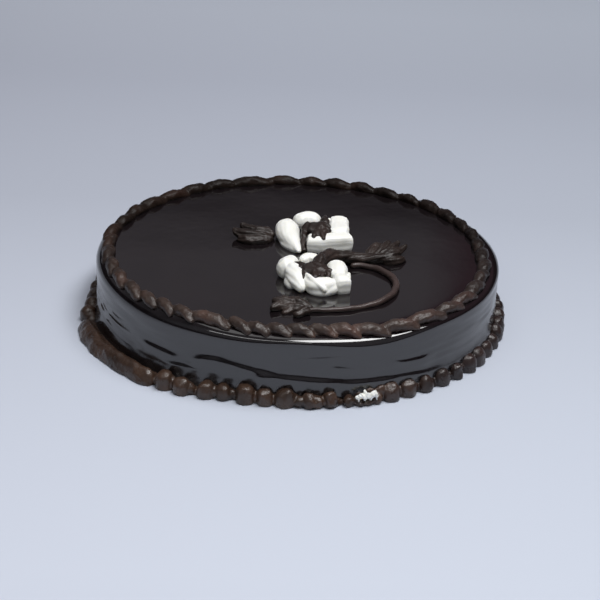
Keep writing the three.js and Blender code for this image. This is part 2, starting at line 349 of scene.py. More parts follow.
def make_cake(material):
    g = GLAZE
    angle = np.linspace(-180, 180, g["segments"], endpoint=False)[None]
    reach, _ = edge(angle)
    rings = [polar(angle, 0.0, 0.0), polar(angle, g["under_ring"] * RADIUS, 0.0), *glaze_wall(angle)]
    arc = np.radians(90 * np.linspace(0, 1, g["edge_rows"] + 1)[1:])[:, None]
    share = (1 - np.linspace(0, 1, g["top_rows"] + 1)[1:])[:, None] ** g["top_spacing"]
    for radius in (RADIUS - reach + reach * np.cos(arc), (RADIUS - reach) * share):
        rings.extend(polar(angle, radius, glaze_height(angle, radius)))
    points, triangles = closed_rings(np.stack([ring.reshape(-1, 3) for ring in rings]))
    swell_top(points)
    dress(show("cake_glaze", mesh_of("cake_glaze", points, triangles)), "cake", material)


def settle(points):
    """Keeps a piece on the glaze, sunk in it by a little."""
    points = points.copy()
    angle = np.degrees(np.arctan2(points[:, 1], points[:, 0]))
    radius = np.hypot(points[:, 0], points[:, 1])
    points[:, 2] = np.maximum(points[:, 2], glaze_height(angle, radius) - SINK)
    return points


def raised(knots):
    """Knots whose heights are counted from the glaze, as places."""
    return [(x, y, TOP + z, half) for x, y, z, half in knots]


# ---- the top border -----------------------------------------------------------------------------------

# Where one stroke of the border ends and the next begins, in front and at the back. Between the two lists the
# strokes are evenly spaced.
FRONT_JOINTS = (
    -138.7, -131.8, -125.4, -118.3, -108.0, -102.0, -96.8, -91.0, -84.6, -78.6, -72.0, -63.6, -54.6, -44.8,
)
BACK_JOINTS = (29.5, 38.5, 47.3, 56, 64.8, 74, 82.6, 91.3, 102, 114, 123.6, 132.7, 142.4, 151.3, 160)
RIGHT_STROKES = 9
LEFT_STROKES = 7

# The forms of a stroke: share of its length from joint to joint, distance from the axis, height above the
# glaze and half width. In front it starts on the inner side, and its thin tail runs out and down over the
# edge. At the back it is a round lump.
STROKE_FRONT = (
    (-0.34, 94.4, -0.4, 1.7),
    (-0.02, 94.9, 0.9, 2.9),
    (0.32, 95.8, 1.5, 3.4),
    (0.64, 97.2, 1.1, 3.0),
    (0.88, 99.0, 0.1, 2.2),
    (1.04, 100.4, -1.0, 1.4),
)
STROKE_BACK = (
    (-0.24, 95.8, -0.4, 1.8),
    (0.08, 96.0, 0.7, 2.8),
    (0.38, 96.4, 1.5, 3.3),
    (0.66, 96.8, 1.2, 3.2),
    (0.90, 97.4, 0.3, 2.6),
    (1.14, 98.0, -0.5, 1.8),
)
# The bed that joins the strokes, in front and at the back: distance from the axis, height and half width.
STROKE_BED = ((95.6, -0.4, 2.4), (96.2, -0.9, 2.2))
# Where the front form is full, and how steeply it gives way to the back form.
FRONT_MIDDLE = -98
FRONT_STEEP = 2.7
# How far the strokes and their bed lie outside these distances, by angle, and the outermost place of a tail.
STROKE_RUN = (
    (-180, 2.6), (-160, 2.8), (-145, 3.2), (-130, 3.2), (-118, 3.0), (-112, 0.8), (-108, 0.8), (-104, 2.2),
    (-96, 1.8), (-88, 1.2), (-80, 1.0), (-72, 2.0), (-63, 3.0), (-50, 3.0), (-38, 3.2), (-28, 2.8),
    (-18, 1.4), (-5, 0.2), (10, 0.2), (30, 0.8), (70, 0.6), (120, 0.6), (150, 1.6), (180, 2.6),
)
STROKE_LIMIT = 102.0
# How strokes differ: the length of one of plain size, how much longer ones grow, the range of chance in size
# and height, and how far they lean in or out.
STROKE = {"length": 14.0, "growth": 0.25, "range": (0.92, 1.08), "lean": 0.3}


def top_joints():
    right = np.linspace(FRONT_JOINTS[-1], BACK_JOINTS[0], RIGHT_STROKES + 1)[1:-1]
    left = np.linspace(BACK_JOINTS[-1], FRONT_JOINTS[0] + 360, LEFT_STROKES + 1)[1:-1]
    return [*FRONT_JOINTS, *right, *BACK_JOINTS, *left, FRONT_JOINTS[0] + 360]


def frontness(angle):
    """1 in front, about 0.15 at the sides and 0 at the back."""
    return (0.5 + 0.5 * np.cos(np.radians(turn(angle, FRONT_MIDDLE)))) ** FRONT_STEEP


def on_edge(angle, radius, up):
    """A place in the top border, moved out by its run and down by the sag under it."""
    radius = np.minimum(radius + np.interp(turn(angle, 0), *np.transpose(STROKE_RUN)), STROKE_LIMIT)
    return polar(angle, radius, TOP - sag(angle, radius) + up)


def top_strokes():
    draw = np.random.default_rng(seed=11)
    joints = top_joints()
    front, back = np.array(STROKE_FRONT), np.array(STROKE_BACK)
    parts = []
    for start, end in zip(joints, joints[1:]):
        length = math.radians(end - start) * RADIUS
        size = (length / STROKE["length"]) ** STROKE["growth"] * draw.uniform(*STROKE["range"])
        lean, height = draw.normal(0, STROKE["lean"]), draw.uniform(*STROKE["range"])
        ahead = frontness((start + end) / 2)
        share, radius, up, half = (ahead * front + (1 - ahead) * back).T
        place = on_edge(start + (end - start) * share, radius + lean, up * height)
        knots = np.column_stack([place, half * size])
        points, triangles = piped(knots, steps=44, sides=32, flat=0.86, ends=(1.1, 0.9))
        points = wobble(points, amount=0.6, scale=4.0, seed=len(parts))
        points = wobble(points, amount=0.3, scale=1.7, seed=len(parts))
        parts.append((settle(points), triangles))
    return parts


def top_bed():
    angle = np.linspace(-180, 180, 121)[:, None]
    ahead = frontness(angle)
    radius, up, half = (ahead * f + (1 - ahead) * b for f, b in zip(*STROKE_BED))
    knots = np.column_stack([on_edge(angle, radius, up)[:, 0], half])
    points, triangles = piped(knots, steps=600, sides=20, flat=0.9, ends=(0.1, 0.1))
    return settle(wobble(points, amount=0.6, scale=3.0, seed=77)), triangles


def make_top_border(material):
    parts = [*top_strokes(), top_bed()]
    dress(fuse("top_border_strokes", parts, voxel=0.45, smooth=1), "top_border", material)


# ---- the foot border ----------------------------------------------------------------------------------

FOOT = {"radius": 106.4, "half": 4.4, "height": 8.5, "pitch": 5.37}
FOOT_DRIFT = {"from": -161, "to": -121, "edge": 17, "far": 5.4}  # where the border lies off the wall
# A drop: the height of its middle and its half height as shares of its height, how far its angle may be off,
# and the range of its size.
DROP = {"middle": 0.32, "half_height": 0.68, "off": 0.25, "range": (0.92, 1.08)}
# Its tail: way along the wall and inwards, and height and half width as shares of the drop's.
DROP_TAIL = ((0.0, 0.9, 0.42, 0.72), (3.4, 1.4, 0.36, 0.70), (7.0, 1.8, 0.26, 0.5))
FRONT_DROPS = (-123.2, -118.2, -112.4, -107.6, -102.1, -96.9, -91.4)
RIGHT_DROPS = (-63.6, -58.4, -52.5, -46.6, -41, -35.4, -30, -24.2)

# The stretch that is smeared to a smooth ramp, the degrees over which its two ends round off, and how far
# before it the last drop stands.
BAND = {"from": -166, "to": -125.9, "left_end": 9.0, "right_end": 2.6, "gap": 2.5}
# Its section, from the dark gap at the wall over its top edge and down its slope: distance outwards and
# height.
BAND_SECTION = (
    (-5.0, 0), (-3.4, 2.2), (-2.0, 5.4), (-0.6, 7.1), (0.8, 7.4),
    (2.3, 6.8), (3.9, 5.3), (5.2, 3.1), (6.0, 0.9), (6.1, 0),
)

# The flattened stretch in front: angle, distance outwards, height, and half sizes along, outwards and up.
SMEAR = (
    (-88.0, 0.8, 2.6, 2.8, 3.4, 3.2),
    (-85.6, 1.4, 3.0, 3.4, 3.6, 4.0),
    (-83.2, 1.0, 2.8, 3.0, 3.4, 3.6),
    (-80.2, 1.0, 3.2, 3.6, 3.8, 4.6),
    (-77.8, -0.6, 1.6, 1.8, 2.2, 2.0),
    (-75.2, 0.8, 2.4, 2.8, 3.4, 3.0),
    (-72.6, 1.4, 1.6, 2.4, 2.8, 2.4),
    (-70.2, 1.6, 1.8, 2.6, 3.0, 2.4),
    (-67.8, 1.2, 2.4, 2.4, 3.0, 3.4),
    (-69.6, -0.6, 5.6, 3.2, 1.6, 2.2),
    (-72.4, -0.8, 4.4, 2.6, 1.6, 2.0),
    (-66.6, -0.2, 6.0, 2.6, 2.0, 2.4),
)

# The bed under the drops: distance from the wall, height and half width, and how much the first and the last
# grow with the border's distance from the wall.
FOOT_BED = {"out": 0.4, "up": 0.6, "half": 1.9, "out_growth": 0.5, "half_growth": 0.42}

# White cream in the foot border: soft bits side by side and thin runs under them. Their places along the wall
# and their heights count from the middle of the spot, and out is their distance from the wall. The ranges are
# those of chance.
CREAM = {
    "bits": (-5.2, 3.4, 11),  # first, last and how many
    "bits_out": 4.8,
    "bits_up": -0.2,
    "bits_bend": 0.02,  # how they hang down towards the two ends
    "out_range": (-0.5, 0.6),
    "up_range": (-0.9, 0.8),
    "half_ranges": ((0.7, 1.3), (0.9, 1.5), (0.8, 1.7)),
    "runs": (-5.0, -1.9, 0.8, 3.6),
    "runs_out": 5.4,
    "runs_up": -1.9,
    "runs_half": (0.5, 0.7, 1.6),
}


def drift(angle):
    """How far the border lies off the wall."""
    middle = (FOOT_DRIFT["from"] + FOOT_DRIFT["to"]) / 2
    outside = np.abs(turn(angle, middle)) - (FOOT_DRIFT["to"] - FOOT_DRIFT["from"]) / 2
    return FOOT_DRIFT["far"] * (1 - ease(outside / FOOT_DRIFT["edge"]))


def against_wall(points):
    """Keeps a piece on the ground and against the wall, sunk in it by a little."""
    points = points.copy()
    radius = np.hypot(points[:, 0], points[:, 1])
    kept = np.maximum(radius, RADIUS - SINK)
    points[:, :2] *= (kept / radius)[:, None]
    points[:, 2] = np.maximum(points[:, 2], 0)
    return points


def foot_drop(angle, size, seed):
    """A round drop with a short tail that runs on along the wall."""
    half, height = FOOT["half"] * size, FOOT["height"] * size
    radius = FOOT["radius"] + drift(angle)
    ring = math.degrees(1 / radius)
    halves = (half, half, DROP["half_height"] * height)
    body = blob(polar(angle, radius, DROP["middle"] * height), halves, rows=26, sides=36, square=0.8)
    knots = [
        (*polar(angle + along * ring, radius - inwards, 0.0)[:2], up * height, wide * half)
        for along, inwards, up, wide in DROP_TAIL
    ]
    tail = piped(knots, steps=18, sides=20)
    return [(against_wall(wobble(p, amount=0.7, scale=4.0, seed=seed)), t) for p, t in (body, tail)]


def foot_drops():
    draw = np.random.default_rng(seed=5)
    open_end = RIGHT_DROPS[-1] + FOOT["pitch"]
    last = BAND["from"] + 360 - BAND["gap"]
    count = round((last - open_end) / FOOT["pitch"])
    rest = np.linspace(open_end, last, count + 1)
    parts = []
    for angle in (*FRONT_DROPS, *RIGHT_DROPS, *rest):
        angle = float(angle + draw.normal(0, DROP["off"]))
        parts.extend(foot_drop(angle, draw.uniform(*DROP["range"]), seed=len(parts)))
    return parts


def foot_band():
    """The smooth ramp at the left, with rounded ends."""
    out, up = through(BAND_SECTION, 48).T
    under = np.linspace(out[-1], out[0], 14)[1:-1]
    out = np.append(out, under)[::-1]
    up = np.append(up, np.zeros_like(under))[::-1]
    angle = np.linspace(BAND["from"], BAND["to"], 220)[:, None]
    way = np.minimum((angle - BAND["from"]) / BAND["left_end"], (BAND["to"] - angle) / BAND["right_end"])
    full = np.sqrt(1 - (1 - np.clip(way, 0, 1)) ** 2)
    radius = FOOT["radius"] + drift(angle) + out[None] * full
    points, triangles = closed_rings(polar(angle, radius, up[None] * full))
    points = wobble(points, amount=0.9, scale=9.0, seed=2)
    return against_wall(wobble(points, amount=0.35, scale=2.6, seed=6)), triangles


def foot_bed():
    """The low bed under the drops, which closes the gap to the wall."""
    angle = np.linspace(-180, 180, 145)
    away = drift(angle)
    place = polar(angle, RADIUS + FOOT_BED["out"] + FOOT_BED["out_growth"] * away, FOOT_BED["up"])
    knots = np.column_stack([place, FOOT_BED["half"] + FOOT_BED["half_growth"] * away])
    points, triangles = piped(knots, steps=400, sides=20, flat=0.8, ends=(0.1, 0.1))
    return against_wall(wobble(points, amount=0.6, scale=5.0, seed=9)), triangles


def foot_smear():
    """Drops pressed flat into each other, rough on top."""
    parts = []
    for angle, out, height, *half in SMEAR:
        centre, seed = polar(angle, FOOT["radius"] + out, height), int(angle)
        points, triangles = blob(centre, half, lumps=1.0, scale=3.4, seed=seed + 200, rows=26, sides=36)
        parts.append((against_wall(wobble(points, amount=0.3, scale=1.4, seed=seed + 90)), triangles))
    return parts


def make_foot_border(material):
    parts = [*foot_drops(), foot_band(), foot_bed(), *foot_smear()]
    dress(fuse("foot_border_drops", parts, voxel=0.5, smooth=2), "foot_border", material)


def make_cream_spot(material):
    low, high = (np.array(c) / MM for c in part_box("cream_spot"))
    middle = (low + high) / 2
    angle = math.degrees(math.atan2(middle[1], middle[0]))
    draw = np.random.default_rng(seed=3)
    parts = []
    for along in np.linspace(*CREAM["bits"]):
        radius = RADIUS + CREAM["bits_out"] + draw.uniform(*CREAM["out_range"])
        height = middle[2] + CREAM["bits_up"] + draw.uniform(*CREAM["up_range"])
        height = height - CREAM["bits_bend"] * along**2
        half = [draw.uniform(*ends) for ends in CREAM["half_ranges"]]
        place = polar(angle + math.degrees(along / RADIUS), radius, height)
        parts.append(blob(place, half, lumps=0.9, scale=1.3, seed=int(along * 9) + 60))
    for along in CREAM["runs"]:
        here = angle + math.degrees(along / RADIUS)
        place = polar(here, RADIUS + CREAM["runs_out"], middle[2] + CREAM["runs_up"])
        parts.append(blob(place, CREAM["runs_half"], lumps=0.5, scale=1.2, seed=int(along * 9)))
    dress(fuse("cream_spot_smear", parts, voxel=0.3, smooth=1), "cream_spot", material)


# ---- flowers ------------------------------------------------------------------------------------------

# Strokes of the cream flowers, each with knots of x, y, height above the glaze and half width.
FLOWER_BACK = (
    # the large comma at the left
    dict(knots=((-2.4, 23, 3.4, 4.6), (-5.9, 19.5, 3.9, 6.4), (-5.6, 11.5, 3.8, 6.3), (-3.4, 4, 3.2, 4.6),
                (-0.8, -1.6, 2.2, 2.6), (1, -5.6, 1, 1)),
         ribs=13, groove=0.02, twist=-2.5, flat=0.82),
    # its underfold
    dict(knots=((-9.2, 13.6, 1.4, 2.4), (-6.6, 4.9, 1.4, 3.0), (-2.3, -0.9, 1.2, 2.4), (0.2, -3.6, 0.8, 1.2)),
         ribs=9, groove=0.04),
    # the lobe at the back
    dict(knots=((10.6, 29.4, 3.2, 3.8), (7.0, 32.2, 3.8, 4.8), (2.2, 32, 3.8, 5.0), (-2.0, 27.4, 3.4, 4.4)),
         ribs=11, groove=0.03, flat=0.92),
    # the square block at the right back
    dict(knots=((21.2, 27.6, 3.6, 5.4), (21.2, 20.6, 3.7, 5.4), (21.2, 13, 3.7, 5.4), (21, 8.0, 3.4, 5.1)),
         ribs=10, groove=0.03, ends=(0.12, 0.8), square=0.5),
    # its corner, which stands up
    dict(knots=((15.4, 25.4, 8.4, 0.7), (16.4, 24.0, 6.6, 1.5), (17.6, 20, 4, 2.6))),
    # the broad band in front
    dict(knots=((27.6, 6.0, 3.1, 4.7), (23.0, 4.4, 3.4, 5.1), (14.5, 2.0, 3.4, 5.1), (8.0, 1.2, 3.2, 4.9),
                (4.4, 1.4, 3.1, 4.7)),
         ribs=21, groove=0.02, ends=(0.25, 0.25), square=0.66),
)
FLOWER_FRONT = (
    # the round head at the left
    dict(knots=((0.8, -26, 4.0, 3.4), (-3.0, -28.2, 4.2, 5.2), (-4.8, -34.0, 4.2, 5.8),
                (-3.8, -39.5, 3.4, 4.8)),
         ribs=11, groove=0.02, flat=0.92),
    # the fold that turns from it to the front
    dict(knots=((-2.6, -32, 5.0, 3.4), (-1.8, -38.9, 4.8, 4.8), (-0.4, -45.0, 4.2, 4.9),
                (1.4, -50.4, 3.0, 3.6), (3.4, -55.0, 1.6, 1.6)),
         ribs=7, groove=0.07, twist=4.0, flat=0.9),
    # the small lump under it
    dict(knots=((-3.6, -40.4, 2.0, 2.6), (-3.4, -45.6, 1.6, 3.0), (-1.6, -50.0, 1.2, 2.4)),
         ribs=9, groove=0.04, flat=0.85),
    # the small bit at the back
    dict(knots=((1.6, -25.4, 3.6, 2.8), (5.2, -21.6, 4.2, 3.4), (10.5, -22.0, 4.4, 3.0)),
         ribs=9, groove=0.04, ends=(0.8, 0.4)),
    # the low petal in front, which rises to a tip at its left
    dict(knots=((4.3, -46.6, 7.4, 0.6), (5.6, -48.9, 5.2, 2.8), (8.2, -51.2, 3.6, 4.8),
                (12.0, -52.4, 3.0, 5.4), (16.0, -51.6, 3.0, 5.2), (20.0, -49.6, 3.2, 4.2)),
         ribs=5, groove=0.10, twist=5.0, ends=(1.4, 0.8), flat=0.86),
    # the ridge that runs down it from the tip
    dict(knots=((4.6, -46.4, 7.6, 0.6), (7.6, -51.4, 7.0, 1.3), (11.4, -55.4, 5.4, 1.5),
                (15.2, -57.6, 3.4, 1.2))),
    # the block at the right back
    dict(knots=((18.6, -28.4, 3.8, 4.4), (19.8, -32.6, 4.0, 5.2), (20.4, -39.8, 3.8, 5.2),
                (20.4, -46.0, 3.4, 4.8)),
         ribs=10, groove=0.02, ends=(0.9, 0.8), square=0.75),
    # the block at the right front
    dict(knots=((25.6, -47.4, 3.1, 4.6), (22.6, -48.8, 3.4, 4.9), (17.6, -50.0, 3.2, 4.8)),
         ribs=15, groove=0.02, ends=(0.25, 0.7), square=0.6),
    # its corner, which stands up
    dict(knots=((25.8, -44.6, 8.2, 0.7), (25.2, -46.0, 5.8, 1.6), (24.0, -48.2, 3.8, 2.6))),
)


def flower_stroke(knots, **how):
    return piped(raised(knots), steps=72, sides=96, **how)


def make_flower(name, node, strokes, material, seed):
    parts = []
    for stroke in strokes:
        points, triangles = flower_stroke(**stroke)
        parts.append((settle(wobble(points, amount=0.45, scale=6.0, seed=seed + len(parts))), triangles))
    dress(fuse(name, parts, voxel=0.36, smooth=1), node, material)


# Chocolate in the flowers: lumps of middle and half sizes, and spikes of knots, heights above the glaze.
CENTRE_BACK = {
    "lumps": (
        ((10.4, 12.6, 7.0), (5.8, 6.6, 3.4)),
        ((11.4, 3.6, 7.8), (4.8, 3.6, 2.4)),
        ((4.6, 14.0, 6.4), (3.6, 4.2, 2.8)),
        ((13.2, 23.0, 6.2), (2.8, 5.0, 2.4)),
    ),
    "spikes": (
        ((3.2, 12.0, 6.6, 2.0), (2.4, 6.0, 5.0, 1.7), (2.4, 0.0, 2.6, 1.6), (3.0, -4.6, 0.6, 1.9)),
        ((13.4, 22.0, 6.6, 2.0), (13.8, 28.0, 6.6, 1.7), (13.6, 32.6, 5.6, 1.3)),
        ((12.0, 4.0, 8.2, 2.2), (12.6, 0.0, 8.0, 1.8), (13.0, -2.6, 6.8, 1.0)),
        ((9.0, 3.6, 8.2, 1.8), (8.2, 0.6, 8.2, 1.4), (8.0, -1.8, 7.2, 0.7)),
        ((13.0, 12.0, 7.0, 2.2), (15.6, 10.6, 7.4, 1.6), (16.8, 9.6, 6.8, 0.9)),
    ),
}
CENTRE_FRONT = {
    "lumps": (
        ((8.8, -40.6, 7.0), (7.0, 7.2, 3.4)),
        ((3.0, -38.0, 6.4), (3.8, 3.8, 2.6)),
        ((14.2, -41.4, 6.2), (3.2, 4.6, 2.8)),
    ),
    "spikes": (
        ((4.0, -37.4, 7.4, 2.0), (1.0, -35.6, 7.9, 1.4), (-1.6, -34.6, 7.9, 0.5)),
        ((3.6, -42.0, 7.0, 2.0), (3.2, -46.0, 6.8, 1.3), (3.4, -49.6, 5.8, 0.5)),
        ((8.6, -44.0, 7.2, 2.2), (9.0, -49.0, 7.4, 1.7), (9.0, -52.4, 6.6, 0.8)),
        ((12.4, -45.0, 7.0, 1.6), (12.6, -48.4, 7.0, 1.2), (12.4, -50.0, 6.4, 0.6)),
        ((15.0, -43.0, 6.8, 2.0), (15.8, -47.0, 6.8, 1.4), (15.4, -50.0, 6.0, 0.7)),
        ((10.0, -36.0, 7.4, 2.8), (11.6, -31.0, 8.2, 2.9), (12.6, -26.0, 7.8, 2.6)),
    ),
}


def make_centre(name, node, shape, material, seed):
    parts = []
    for (x, y, z), half in shape["lumps"]:
        place, lump_seed = (x, y, TOP + z), seed + len(parts)
        points, triangles = blob(place, half, lumps=1.5, scale=4.0, seed=lump_seed, rows=30, sides=44)
        parts.append((settle(points), triangles))
    for knots in shape["spikes"]:
        points, triangles = piped(raised(knots), steps=30, sides=24, ribs=5, groove=0.1)
        parts.append((settle(wobble(points, amount=0.6, scale=3.0, seed=seed + len(parts))), triangles))
    dress(fuse(name, parts, voxel=0.34, smooth=2), node, material)


# ---- sprays -------------------------------------------------------------------------------------------

# Chocolate strokes on the top, each with knots of x, y, height above the glaze and half width.
SPRAY_RIGHT = (
    ((10.0, -34.0, 6.6, 3.4), (12.4, -27.6, 7.2, 3.7), (16.6, -20.6, 6.2, 3.8), (23.5, -16.4, 4.4, 3.7),
     (31.0, -14.4, 2.8, 3.3), (40.0, -12.4, 2.2, 3.0), (49.0, -10.0, 2.2, 2.2)),
    # the ridge along its front
    ((22.0, -18.6, 5.4, 1.0), (28.0, -17.6, 4.2, 1.4), (34.0, -16.4, 3.6, 1.5), (41.0, -14.2, 3.8, 1.5),
     (48.4, -10.6, 4.0, 1.3), (53.0, -6.6, 3.8, 1.0)),
)
# The frayed leaf at the end of the right spray.
SPRAY_LEAF = (
    ((36.0, -12.0, 1.6, 2.2), (38.0, -6.0, 2.2, 3.2), (40.4, -0.8, 2.8, 3.2), (43.4, 3.0, 3.4, 2.0)),
    ((39.0, -11.0, 1.8, 2.4), (43.0, -4.8, 2.8, 3.2), (46.0, 0.4, 4.2, 2.6), (47.8, 3.6, 5.6, 1.3)),
    ((42.0, -10.0, 2.0, 2.4), (47.0, -5.0, 3.0, 3.0), (50.6, -0.2, 4.6, 2.3), (52.8, 3.0, 6.2, 1.1)),
    ((44.0, -10.0, 2.0, 2.4), (49.6, -6.4, 2.6, 2.8), (53.6, -2.4, 3.4, 2.1), (56.4, 1.4, 4.6, 1.1)),
    ((44.0, -12.4, 1.6, 2.4), (48.6, -13.0, 1.5, 2.8), (52.2, -11.4, 1.5, 2.4), (54.8, -8.2, 1.8, 1.4)),
)
STEM = (
    (27, -20.6, 1.3, 1.3), (33, -19.8, 1.3, 1.3), (39.6, -22.2, 1.4, 1.5), (44.6, -26.8, 1.5, 1.7),
    (48.3, -33.3, 1.5, 1.8), (49.7, -42.6, 1.5, 1.8), (48.4, -50.8, 1.5, 1.7), (45.2, -58, 1.4, 1.6),
    (40.2, -63.8, 1.3, 1.4), (34.4, -67.8, 1.2, 1.3), (28.5, -70.9, 1.2, 1.3), (21.7, -73.4, 1.2, 1.3),
    (14.4, -74.7, 1.2, 1.3), (7.1, -75.3, 1.1, 1.3), (2, -75.6, 1.1, 1.3),
)
LEAF_FRONT = (
    ((6, -75.0, 0.6, 2.2), (1, -74.4, 0.9, 3.2), (-4, -73.6, 0.9, 3.0), (-8.6, -73.4, 0.8, 2.2)),
    ((8, -75.4, 1.2, 1.8), (4, -72.0, 2.0, 2.8), (-0.6, -70.4, 2.8, 2.8), (-5.6, -69.6, 3.2, 1.8)),
    ((0, -72.4, 2.0, 2.4), (-4.4, -71.0, 2.8, 2.8), (-8.0, -70.2, 2.6, 2.6), (-11.4, -70.8, 2.2, 1.5)),
    ((-6, -72.2, 1.6, 2.2), (-9.6, -74.6, 1.8, 2.3), (-12.4, -77.6, 1.7, 1.3)),
    ((7, -76.4, 1.2, 1.9), (4.8, -78.0, 1.8, 2.5), (2.4, -80.4, 1.5, 2.3), (-0.8, -82.0, 1.0, 1.5)),
    ((1, -75.0, 0.6, 1.6), (-3.4, -77.0, 0.4, 1.8), (-6.6, -79.0, 0.3, 1.2)),
)
LEAF_LEFT = (
    ((-12.6, 14.0, 1.6, 2.0), (-17.4, 15.6, 2.1, 3.2), (-22.6, 16.4, 2.6, 3.4), (-28.0, 17.8, 3.6, 2.5),
     (-31.2, 19.4, 5.4, 1.2)),
    ((-13.4, 10.6, 1.4, 2.2), (-19.4, 10.4, 1.8, 3.4), (-26.6, 11.0, 2.2, 3.6), (-32.2, 12.4, 3.4, 2.5),
     (-35.4, 13.4, 5.2, 1.2)),
    ((-15.0, 8.6, 1.2, 2.0), (-22.0, 7.2, 1.4, 3.0), (-28.4, 7.4, 1.4, 2.8), (-32.6, 9.2, 1.6, 1.7)),
    ((-14.0, 15.0, 1.4, 1.8), (-17.4, 19.0, 1.9, 2.2), (-20.6, 22.0, 2.0, 1.5)),
)


def make_spray(name, node, strokes, material, seed, rough):
    """Rough strokes with the ridges of a star nozzle."""
    nozzle = {"ribs": 6, "groove": 0.14, "twist": 2.0}
    parts = []
    for stroke_seed, knots in enumerate(strokes, start=seed):
        points, triangles = piped(raised(knots), steps=64, sides=64, ends=(0.9, 1.1), **nozzle)
        points = wobble(points, amount=0.7, scale=6.0, seed=stroke_seed)
        points = wobble(points, amount=rough, scale=2.4, seed=stroke_seed)
        parts.append((settle(points), triangles))
    dress(fuse(name, parts, voxel=0.34, smooth=1), node, material)


def make_stem(material):
    points, triangles = piped(raised(STEM), steps=220, sides=24, ends=(1.5, 1.0))
    stem = [(settle(wobble(points, amount=0.5, scale=7.0, seed=31)), triangles)]
    dress(fuse("stem_line", stem, voxel=0.34, smooth=2), "stem", material)


# ---- materials ----------------------------------------------------------------------------------------


def new_material(name):
    material = bpy.data.materials.new(name)
    material.use_nodes = True
    tree = material.node_tree
    return material, tree, tree.nodes["Principled BSDF"]


def noise_node(tree, scale, detail, roughness=0.5):
    """Noise over the object's own place, with bumps of about 1 / scale metres."""
    place = tree.nodes.new("ShaderNodeTexCoord")
    node = tree.nodes.new("ShaderNodeTexNoise")
    node.inputs["Scale"].default_value = scale
    node.inputs["Detail"].default_value = detail
    node.inputs["Roughness"].default_value = roughness
    tree.links.new(place.outputs["Object"], node.inputs["Vector"])
    return node.outputs["Fac"]


def ramp(tree, source, stops):
    node = tree.nodes.new("ShaderNodeValToRGB")
    for n, (at, colour) in enumerate(stops):
        element = node.color_ramp.elements[n] if n < 2 else node.color_ramp.elements.new(at)
        element.position = at
        element.color = (*colour, 1)
    tree.links.new(source, node.inputs["Fac"])
    return node.outputs["Color"]


def spread(tree, source, low, high):
    node = tree.nodes.new("ShaderNodeMapRange")
    node.inputs["To Min"].default_value = low
    node.inputs["To Max"].default_value = high
    tree.links.new(source, node.inputs["Value"])
    return node.outputs["Result"]


def within(tree, source, low, high):
    """0 at low, 1 at high."""
    out = spread(tree, source, 0.0, 1.0)
    out.node.inputs["From Min"].default_value = low
    out.node.inputs["From Max"].default_value = high
    return out


def between(tree, source, ends, tones):
    """The first tone at one end of a range and the second at the other."""
    return ramp(tree, within(tree, source, *ends), tuple(enumerate(tones)))


def combined(tree, a, b, how="MULTIPLY"):
    """Two colours as one, channel by channel."""
    node = tree.nodes.new("ShaderNodeVectorMath")
    node.operation = how
    tree.links.new(a, node.inputs[0])
    tree.links.new(b, node.inputs[1])
    return node.outputs["Vector"]


def bump(tree, source, depth):
    node = tree.nodes.new("ShaderNodeBump")
    node.inputs["Distance"].default_value = depth * MM
    tree.links.new(source, node.inputs["Height"])
    return node.outputs["Normal"]


def grey(tone):
    return (tone,) * 3


def metres(ends):
    return [end * MM for end in ends]


def own_place(tree):
    """The object's own coordinates, in metres."""
    place = tree.nodes.new("ShaderNodeTexCoord")
    way = tree.nodes.new("ShaderNodeSeparateXYZ")
    tree.links.new(place.outputs["Object"], way.inputs["Vector"])
    return way.outputs


# Stops of the glaze's tint, of its roughness from the foot (0) to the top (1), and of the patches in that.
GLAZE_TINT = ((0.3, (0.0062, 0.0046, 0.0052)), (0.7, (0.0088, 0.0064, 0.0072)))
GLAZE_ROUGH = ((0, grey(0.34)), (1, grey(0.055)), (0.37, grey(0.17)), (0.88, grey(0.17)))
GLAZE_PATCHES = ((0.3, grey(0.7)), (0.7, grey(1.3)))
# Heights: from the foot to where the mirror of the top begins, and the upper part of that.
GLAZE_WALL = (0, 33)
GLAZE_SHOULDER = (29, 33)


def glaze_material():
    material, tree, shader = new_material("glaze")
    colour = ramp(tree, noise_node(tree, scale=26, detail=4), GLAZE_TINT)
    tree.links.new(colour, shader.inputs["Base Color"])
    height = own_place(tree)["Z"]
    level = ramp(tree, within(tree, height, *metres(GLAZE_WALL)), GLAZE_ROUGH)
    patches = ramp(tree, noise_node(tree, scale=60, detail=3), GLAZE_PATCHES)
    tree.links.new(combined(tree, level, patches), shader.inputs["Roughness"])
    shine = spread(tree, within(tree, height, *metres(GLAZE_SHOULDER)), low=0.62, high=0.5)
    tree.links.new(shine, shader.inputs["Specular IOR Level"])
    tree.links.new(bump(tree, noise_node(tree, scale=160, detail=2), depth=0.02), shader.inputs["Normal"])
    shader.inputs["IOR"].default_value = 1.70
    return material


# Where the fudge takes a painted shade towards the back, where it takes a painted bluish shade at the right,
# and how far its roughness varies.
FUDGE_SHADE_BACK = (-90, 20)
FUDGE_SHADE_RIGHT = (10, 90)
FUDGE_ROUGH = (-0.08, 0.12)
